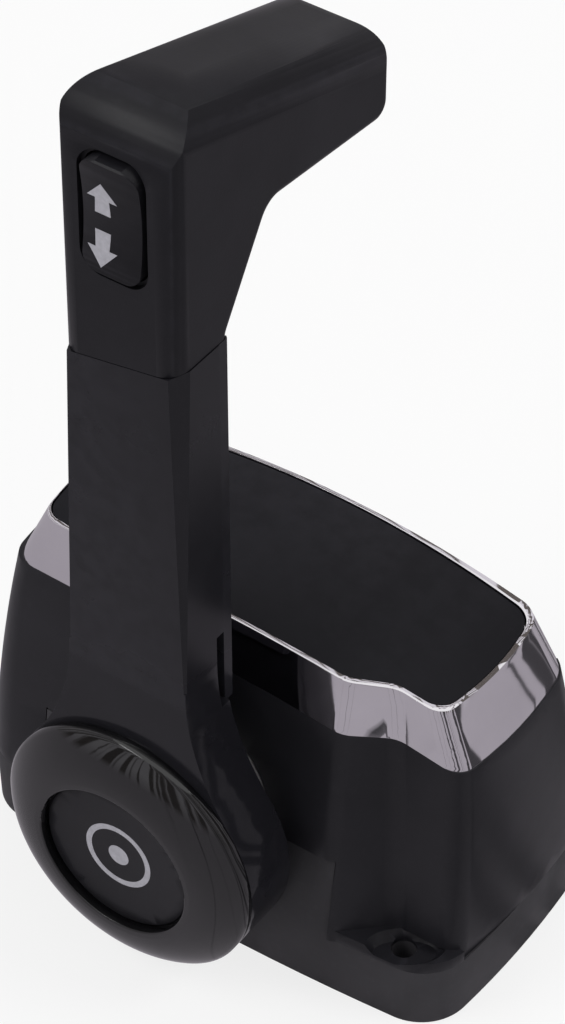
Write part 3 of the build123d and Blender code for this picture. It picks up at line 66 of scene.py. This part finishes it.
# ---- materials ----
class Shader:
    """A node material that is built up step by step."""

    def __init__(self, name):
        self.material = bpy.data.materials.new(name)
        self.material.use_nodes = True
        self.tree = self.material.node_tree
        self.surface = self.tree.nodes["Principled BSDF"]
        self.place = self.node("ShaderNodeTexCoord").outputs["Object"]

    def node(self, kind, **values):
        node = self.tree.nodes.new(kind)
        for key, value in values.items():
            setattr(node, key, value)
        return node

    def link(self, source, target):
        self.tree.links.new(source, target)

    def noise(self, scale, detail=4.0, roughness=0.55, stretch=(1.0, 1.0, 1.0)):
        """Noise over the object's own coordinates; scale is in features per metre."""
        mapping = self.node("ShaderNodeMapping")
        mapping.inputs["Scale"].default_value = stretch
        self.link(self.place, mapping.inputs["Vector"])
        noise = self.node("ShaderNodeTexNoise")
        noise.inputs["Scale"].default_value = scale
        noise.inputs["Detail"].default_value = detail
        noise.inputs["Roughness"].default_value = roughness
        self.link(mapping.outputs["Vector"], noise.inputs["Vector"])
        return noise.outputs["Fac"]

    def spread(self, source, low, high, start=0.3, end=0.7):
        """Maps a 0 to 1 pattern onto a range of values."""
        span = self.node("ShaderNodeMapRange")
        span.inputs["From Min"].default_value = start
        span.inputs["From Max"].default_value = end
        span.inputs["To Min"].default_value = low
        span.inputs["To Max"].default_value = high
        self.link(source, span.inputs["Value"])
        return span.outputs["Result"]

    def strips(self, position, scale, low, high):
        """Strips at uneven distances along a position; low and high set how wide and how soft they are."""
        pattern = self.node("ShaderNodeTexNoise", noise_dimensions="1D")
        pattern.inputs["Scale"].default_value = scale
        pattern.inputs["Detail"].default_value = 2.0
        self.link(position, pattern.inputs["W"])
        return self.spread(pattern.outputs["Fac"], 0.0, 1.0, low, high)

    def mix_colours(self, factor, first, second):
        mix = self.node("ShaderNodeMix", data_type="RGBA")
        self.link(factor, mix.inputs["Factor"])
        for socket, colour in ((mix.inputs[6], first), (mix.inputs[7], second)):
            if isinstance(colour, tuple):
                socket.default_value = (*colour, 1.0)
            else:
                self.link(colour, socket)
        return mix.outputs[2]

    def multiply(self, first, second):
        product = self.node("ShaderNodeMath", operation="MULTIPLY")
        self.link(first, product.inputs[0])
        self.link(second, product.inputs[1])
        return product.outputs[0]

    def edges(self, low=0.53, high=0.62):
        """A mask that is 1 on convex edges."""
        point = self.node("ShaderNodeNewGeometry").outputs["Pointiness"]
        return self.spread(point, 0.0, 1.0, low, high)

    def hub_distance(self):
        """Distance from the hub's axis, for finishes that change near it."""
        middle = self.node("ShaderNodeCombineXYZ")
        middle.inputs["X"].default_value = HUB_X
        middle.inputs["Z"].default_value = HUB_Z
        flat = self.node("ShaderNodeVectorMath", operation="MULTIPLY")
        flat.inputs[1].default_value = (1.0, 0.0, 1.0)
        self.link(self.place, flat.inputs[0])
        apart = self.node("ShaderNodeVectorMath", operation="DISTANCE")
        self.link(flat.outputs[0], apart.inputs[0])
        self.link(middle.outputs[0], apart.inputs[1])
        return apart.outputs["Value"]

    def bump(self, height, strength, distance, below=None):
        bump = self.node("ShaderNodeBump")
        bump.inputs["Strength"].default_value = strength
        bump.inputs["Distance"].default_value = distance
        self.link(height, bump.inputs["Height"])
        if below is not None:
            self.link(below, bump.inputs["Normal"])
        return bump.outputs["Normal"]

    def finish(self, colour, roughness, normal=None):
        self.link(colour, self.surface.inputs["Base Color"])
        self.link(roughness, self.surface.inputs["Roughness"])
        if normal is not None:
            self.link(normal, self.surface.inputs["Normal"])
        return self.material


def moulded(
    name,
    colour,
    rough,
    specular=0.3,
    grain=1400.0,
    grain_depth=0.02,
    wear=0.25,
    patch=0.14,
    gloss_near_hub=False,
):
    """Moulded plastic or rubber: mottled colour, fine grain, patchy gloss and slightly polished edges."""
    shader = Shader(name)
    patches = shader.noise(45.0, 5.0)
    specks = shader.noise(520.0, 3.0)
    darker = tuple(value * (1.0 - patch) for value in colour)
    lighter = tuple(min(1.0, value * (1.0 + patch)) for value in colour)
    worn = tuple(min(1.0, value * (1.0 + wear * 2.2) + 0.004 * wear) for value in colour)
    base = shader.mix_colours(shader.spread(patches, 0.0, 1.0), darker, lighter)
    base = shader.mix_colours(shader.spread(specks, 0.0, 0.35, 0.55, 0.8), base, worn)
    edge = shader.multiply(shader.edges(), shader.spread(shader.noise(240.0, 4.0), 0.25, 1.0, 0.35, 0.6))
    base = shader.mix_colours(edge, base, worn)
    gloss = shader.spread(shader.noise(70.0, 4.0), rough - 0.035, rough + 0.035)
    if gloss_near_hub:
        polish = shader.spread(shader.hub_distance(), HUB_POLISH, 1.0, HUB_POLISH_FULL, HUB_POLISH_END)
        gloss = shader.multiply(gloss, polish)
    fine = shader.bump(shader.noise(grain, 2.0, 0.5), 0.35, grain_depth * MM)
    soft = shader.bump(shader.noise(28.0, 3.0), 0.12, 0.12 * MM, fine)
    shader.surface.inputs["Specular IOR Level"].default_value = specular
    return shader.finish(base, gloss, soft)


def metal(name, colour, rough, brushed=(1.0, 1.0, 1.0), scratch=0.05, grain=900.0):
    """Metal with fine machining marks along one direction and a little tarnish."""
    shader = Shader(name)
    shader.surface.inputs["Metallic"].default_value = 1.0
    darker = tuple(value * 0.88 for value in colour)
    tarnish = shader.spread(shader.noise(60.0, 5.0), 0.0, 0.6)
    base = shader.mix_colours(tarnish, colour, darker)
    marks = shader.noise(grain, 3.0, 0.6, brushed)
    gloss = shader.spread(marks, max(0.02, rough * 0.75), rough * 1.3)
    return shader.finish(base, gloss, shader.bump(marks, 0.2, scratch * MM))


def chrome(name):
    """Polished chrome plating with faint handling marks and hairline scratches."""
    shader = Shader(name)
    shader.surface.inputs["Metallic"].default_value = 1.0
    haze = shader.noise(38.0, 5.0)
    base = shader.mix_colours(shader.spread(haze, 0.0, 1.0), (0.80, 0.78, 0.81), (0.71, 0.69, 0.72))
    hairlines = shader.noise(700.0, 2.0, 0.5, (1.0, 1.0, 0.06))
    gloss = shader.spread(haze, 0.035, 0.075)
    wave = shader.bump(shader.noise(16.0, 2.0), 0.05, 0.12 * MM)
    return shader.finish(base, gloss, shader.bump(hairlines, 0.03, 0.004 * MM, wave))


def printed(name, colour):
    """Screen-printed ink: slightly uneven coverage over plastic."""
    shader = Shader(name)
    thin = tuple(value * 0.82 for value in colour)
    base = shader.mix_colours(shader.spread(shader.noise(900.0, 4.0), 0.0, 1.0), thin, colour)
    gloss = shader.spread(shader.noise(300.0, 3.0), 0.38, 0.5)
    return shader.finish(base, gloss, shader.bump(shader.noise(2200.0, 2.0), 0.2, 0.01 * MM))


MATERIALS = {
    "cover_black": moulded("cover_black", (0.0140, 0.0135, 0.0168), 0.36, 0.24),
    "base_grey": moulded("base_grey", (0.043, 0.041, 0.046), 0.55, 0.2, 1000.0, 0.04),
    "bezel_chrome": chrome("bezel_chrome"),
    "panel_black": moulded("panel_black", (0.0112, 0.0109, 0.0136), 0.42, 0.09, patch=0.07),
    "gasket_rubber": moulded("gasket_rubber", (0.02, 0.02, 0.02), 0.75, 0.3, 700.0, 0.05),
    "lever_black": moulded(
        "lever_black", (0.0110, 0.0106, 0.0134), 0.30, 0.20, 1600.0, 0.012, gloss_near_hub=True
    ),
    "grip_black": moulded("grip_black", (0.0108, 0.0104, 0.0132), 0.36, 0.17, 1500.0, 0.03),
    "ring_black": moulded("ring_black", (0.0052, 0.0050, 0.0058), 0.06, 0.70, 1600.0, 0.001),
    "button_black": moulded("button_black", (0.0125, 0.0122, 0.0148), 0.40, 0.22),
    "rocker_black": moulded("rocker_black", (0.0100, 0.0096, 0.0120), 0.38, 0.16),
    "steel": metal("steel", (0.56, 0.55, 0.53), 0.3, (1.0, 0.1, 1.0)),
    "alloy": metal("alloy", (0.60, 0.60, 0.61), 0.45, grain=500.0, scratch=0.08),
    "bush_brass": metal("bush_brass", (0.72, 0.55, 0.27), 0.32, (1.0, 0.1, 1.0)),
    "inner_plastic": moulded("inner_plastic", (0.50, 0.49, 0.45), 0.5, 0.4),
}
INK = printed("print_grey", (0.46, 0.45, 0.50))

slot_of = {part["node"]: part["material_slot"] for part in frame["record"]["subparts"]}
for name, node in frame["nodes"].items():
    node.data.materials.clear()
    node.data.materials.append(MATERIALS[slot_of[name]])


# ---- soft edges ----
WELD_DISTANCE = 0.002 * MM
SHARP_ANGLE = radians(50.0)
BEVEL_STEPS = 3
ROLLED_EDGES = (
    ("chrome_bezel", 0.5),
    ("side_cover", 0.5),
    ("base_frame", 0.4),
    ("top_cover", 0.3),
    ("hub_ring", 0.25),
    ("throttle_button", 0.3),
    ("trim_rocker", 0.3),
    ("lever_arm", 0.3),
    ("grip_shell", 0.25),
)


def rolled_edges(name, width):
    """Joins the mesh's faces and rounds the sharp edges, so that they catch the light. Millimetres."""
    piece = frame["nodes"][name]
    weld = piece.modifiers.new("weld", "WELD")
    weld.merge_threshold = WELD_DISTANCE
    bevel = piece.modifiers.new("rolled", "BEVEL")
    bevel.width = width * MM
    bevel.segments = BEVEL_STEPS
    bevel.limit_method = "ANGLE"
    bevel.angle_limit = SHARP_ANGLE
    bevel.harden_normals = True


for name, width in ROLLED_EDGES:
    rolled_edges(name, width)


# ---- printed marks ----
def flat_shape(name, outline, surface, holes=()):
    """A thin printed mark: the outline's points are laid on a surface given as a function of x and z."""
    mesh = bmesh.new()
    rings = [outline, *holes]
    edges = []
    for ring in rings:
        vertices = [mesh.verts.new((x, 0.0, z)) for x, z in ring]
        for first, second in zip(vertices, vertices[1:] + vertices[:1]):
            edges.append(mesh.edges.new((first, second)))
    bmesh.ops.triangle_fill(mesh, edges=edges, use_beauty=True)
    bmesh.ops.subdivide_edges(mesh, edges=mesh.edges[:], cuts=3, use_grid_fill=True)
    bmesh.ops.recalc_face_normals(mesh, faces=mesh.faces[:])
    front = mesh.faces[:]
    grown = bmesh.ops.extrude_face_region(mesh, geom=front)
    for vertex in grown["geom"]:
        if isinstance(vertex, bmesh.types.BMVert):
            vertex.co.y = -1.0
    for vertex in mesh.verts:
        lift = PRINT_THICKNESS if vertex.co.y < -0.5 else 0.0
        vertex.co.y = surface(vertex.co.x, vertex.co.z) - lift
    bmesh.ops.recalc_face_normals(mesh, faces=mesh.faces[:])
    data = bpy.data.meshes.new(name)
    mesh.to_mesh(data)
    mesh.free()
    piece = bpy.data.objects.new(name, data)
    bpy.context.collection.objects.link(piece)
    data.materials.append(INK)
    return piece


def rocker_surface(x, z):
    """The rocker's dished face as a y value."""
    return -ROCKER_FACE - ROCKER_DISH + sqrt(ROCKER_DISH**2 - (z - ROCKER_Z) ** 2)


def button_surface(x, z):
    """The push button's dished face as a y value."""
    dish_radius = (BUTTON_EDGE_RADIUS**2 + BUTTON_DISH**2) / (2 * BUTTON_DISH)
    out = (x - HUB_X) ** 2 + (z - HUB_Z) ** 2
    return -BUTTON_FACE + BUTTON_DISH - dish_radius + sqrt(dish_radius**2 - out)


def arrow(tip_z, head_z, foot_z):
    """An arrow's outline on the rocker, its tip first. Heights in millimetres."""
    return [
        (ARROW_X, tip_z * MM),
        (ARROW_X + ARROW_HEAD_HALF, head_z * MM),
        (ARROW_X + ARROW_STEM_HALF, head_z * MM),
        (ARROW_X + ARROW_FOOT_HALF, foot_z * MM),
        (ARROW_X - ARROW_FOOT_HALF, foot_z * MM),
        (ARROW_X - ARROW_STEM_HALF, head_z * MM),
        (ARROW_X - ARROW_HEAD_HALF, head_z * MM),
    ]


def circle(radius, steps=72):
    turns = (2 * pi * step / steps for step in range(steps))
    return [(HUB_X + radius * cos(turn), HUB_Z + radius * sin(turn)) for turn in turns]


up_arrow = flat_shape("rocker_up_mark", arrow(212.1, 208.3, 204.8), rocker_surface)
down_arrow = flat_shape("rocker_down_mark", arrow(193.0, 197.0, 200.9), rocker_surface)
button_ring = flat_shape("button_ring_mark", circle(RING_OUTER), button_surface, [circle(RING_INNER)])
button_dot = flat_shape("button_dot_mark", circle(DOT_RADIUS, DOT_STEPS), button_surface)
marks = (
    (up_arrow, "rocker"),
    (down_arrow, "rocker"),
    (button_ring, "button"),
    (button_dot, "button"),
)
for mark, body in marks:
    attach(mark, body)


# ---- floor, lights, camera ----
CARD_RADIUS = 0.55
CARD_FOOT = -0.0001
CARD_TOP = 0.85
CARD_COUNT = 96
LIGHT_TARGET = (0.0, 0.0, 0.1)
LILAC = (0.42, 0.395, 0.43)
BRIGHT = (0.76, 0.74, 0.78)
BROWN = (0.090, 0.076, 0.064)
DARK = (0.016, 0.016, 0.018)


def studio_floor(size, height):
    bpy.ops.mesh.primitive_plane_add(size=size, location=(0.0, 0.0, height))
    plane = bpy.context.object
    plane.name = "floor"
    plane.data.materials.append(floor_material())


def floor_material():
    """Pale floor that shows white to the camera apart from the object's soft shadow."""
    shader = Shader("studio_floor")
    grain = shader.spread(shader.noise(6.0, 3.0), 0.0, 1.0)
    colour = shader.mix_colours(grain, (0.90, 0.90, 0.90), (0.88, 0.88, 0.88))
    shader.link(colour, shader.surface.inputs["Base Color"])
    shader.surface.inputs["Roughness"].default_value = 0.9
    shader.surface.inputs["Specular IOR Level"].default_value = 0.0
    light_path = shader.node("ShaderNodeLightPath")
    white = shader.node("ShaderNodeEmission")
    seen = shader.node("ShaderNodeMath", operation="MAXIMUM")
    shader.link(light_path.outputs["Is Camera Ray"], seen.inputs[0])
    shader.link(light_path.outputs["Is Glossy Ray"], seen.inputs[1])
    share = shader.node("ShaderNodeMath", operation="MULTIPLY")
    share.inputs[1].default_value = 0.8
    shader.link(seen.outputs[0], share.inputs[0])
    blend = shader.node("ShaderNodeMixShader")
    shader.link(share.outputs[0], blend.inputs[0])
    shader.link(shader.surface.outputs[0], blend.inputs[1])
    shader.link(white.outputs[0], blend.inputs[2])
    shader.link(blend.outputs[0], shader.tree.nodes["Material Output"].inputs["Surface"])
    return shader.material


def card_material():
    """Grey studio cards, paler above the floor, with dark flags aft and brown blinds on the walls."""
    shader = Shader("studio_cards")
    parts = shader.node("ShaderNodeSeparateXYZ")
    shader.link(shader.place, parts.inputs[0])
    turn = shader.node("ShaderNodeMath", operation="ARCTAN2")
    shader.link(parts.outputs["Y"], turn.inputs[0])
    shader.link(parts.outputs["X"], turn.inputs[1])
    rise = shader.spread(parts.outputs["Z"], 0.0, 1.0, 0.08, 0.25)
    colour = shader.mix_colours(rise, LILAC, BRIGHT)
    aft = shader.spread(parts.outputs["X"], 0.0, 0.9, 0.0, 0.1)
    flags = shader.multiply(shader.strips(turn.outputs[0], 6.0, 0.53, 0.56), aft)
    colour = shader.mix_colours(flags, colour, DARK)
    wall = shader.spread(parts.outputs["Z"], 0.0, 0.95, 0.08, 0.15)
    blinds = shader.multiply(shader.strips(turn.outputs[0], 9.0, 0.485, 0.515), wall)
    colour = shader.mix_colours(blinds, colour, BROWN)
    glow = shader.node("ShaderNodeEmission")
    shader.link(colour, glow.inputs["Color"])
    shader.link(glow.outputs[0], shader.tree.nodes["Material Output"].inputs["Surface"])
    return shader.material


def studio_cards():
    """A floor sheet and a ring of tall cards that only reflections on the object see."""
    mesh = bmesh.new()
    low = []
    high = []
    for step in range(CARD_COUNT):
        turn = 2 * pi * step / CARD_COUNT
        x, y = CARD_RADIUS * cos(turn), CARD_RADIUS * sin(turn)
        low.append(mesh.verts.new((x, y, CARD_FOOT)))
        high.append(mesh.verts.new((x, y, CARD_TOP)))
    mesh.faces.new(low)
    for step in range(CARD_COUNT):
        after = (step + 1) % CARD_COUNT
        mesh.faces.new((low[step], low[after], high[after], high[step]))
    data = bpy.data.meshes.new("studio_cards")
    mesh.to_mesh(data)
    mesh.free()
    cards = bpy.data.objects.new("studio_cards", data)
    bpy.context.collection.objects.link(cards)
    data.materials.append(card_material())
    cards.visible_camera = False
    cards.visible_diffuse = False
    cards.visible_transmission = False
    cards.visible_volume_scatter = False
    cards.visible_shadow = False


def world_light():
    """White where the camera or a reflection sees it, and an even grey dome for the light itself."""
    world = bpy.data.worlds.new("studio")
    bpy.context.scene.world = world
    world.use_nodes = True
    tree = world.node_tree
    background = tree.nodes["Background"]
    light_path = tree.nodes.new("ShaderNodeLightPath")
    first = tree.nodes.new("ShaderNodeMath")
    first.operation = "MAXIMUM"
    second = tree.nodes.new("ShaderNodeMath")
    second.operation = "MAXIMUM"
    tree.links.new(light_path.outputs["Is Camera Ray"], first.inputs[0])
    tree.links.new(light_path.outputs["Is Glossy Ray"], first.inputs[1])
    tree.links.new(first.outputs[0], second.inputs[0])
    tree.links.new(light_path.outputs["Is Transmission Ray"], second.inputs[1])
    level = tree.nodes.new("ShaderNodeMapRange")
    level.inputs["To Min"].default_value = 0.45
    level.inputs["To Max"].default_value = 1.0
    tree.links.new(second.outputs[0], level.inputs["Value"])
    tree.links.new(level.outputs["Result"], background.inputs["Strength"])
    background.inputs["Color"].default_value = (1.0, 1.0, 1.0, 1.0)


def area_light(name, place, target, size, power):
    light = bpy.data.lights.new(name, "AREA")
    light.shape = "RECTANGLE"
    light.size, light.size_y = size
    light.energy = power
    lamp = bpy.data.objects.new(name, light)
    bpy.context.collection.objects.link(lamp)
    lamp.location = place
    lamp.rotation_euler = (Vector(target) - Vector(place)).to_track_quat("-Z", "Y").to_euler()


studio_floor(6.0, -0.2 * MM)
studio_cards()
world_light()
area_light("key_light", (-0.7, -0.9, 1.3), LIGHT_TARGET, (0.7, 0.7), 9.0)
area_light("fill_light", (0.95, 0.30, 1.15), LIGHT_TARGET, (0.4, 0.4), 5.0)
area_light("rim_light", (-0.2, 1.2, 1.0), LIGHT_TARGET, (0.9, 0.5), 5.0)

CAMERA_PLACE = Vector((0.3508, -0.5012, 0.6605))
CAMERA_TARGET = Vector((-0.0382, 0.05363, 0.03582))
CAMERA_ROLL = radians(0.269)
FOCAL_PIXELS = 4000.0
PICTURE_HEIGHT = 1024.0
SENSOR = 36.0

camera_data = bpy.data.cameras.new("camera")
camera_data.sensor_width = SENSOR
camera_data.lens = FOCAL_PIXELS * SENSOR / PICTURE_HEIGHT
camera_data.clip_start = 0.05
camera_data.clip_end = 20.0
camera = bpy.data.objects.new("camera", camera_data)
bpy.context.collection.objects.link(camera)
look = (CAMERA_TARGET - CAMERA_PLACE).to_track_quat("-Z", "Y").to_matrix().to_4x4()
camera.matrix_world = Matrix.Translation(CAMERA_PLACE) @ look @ Matrix.Rotation(CAMERA_ROLL, 4, "Z")
bpy.context.scene.camera = camera
bpy.context.scene.view_settings.view_transform = "Standard"
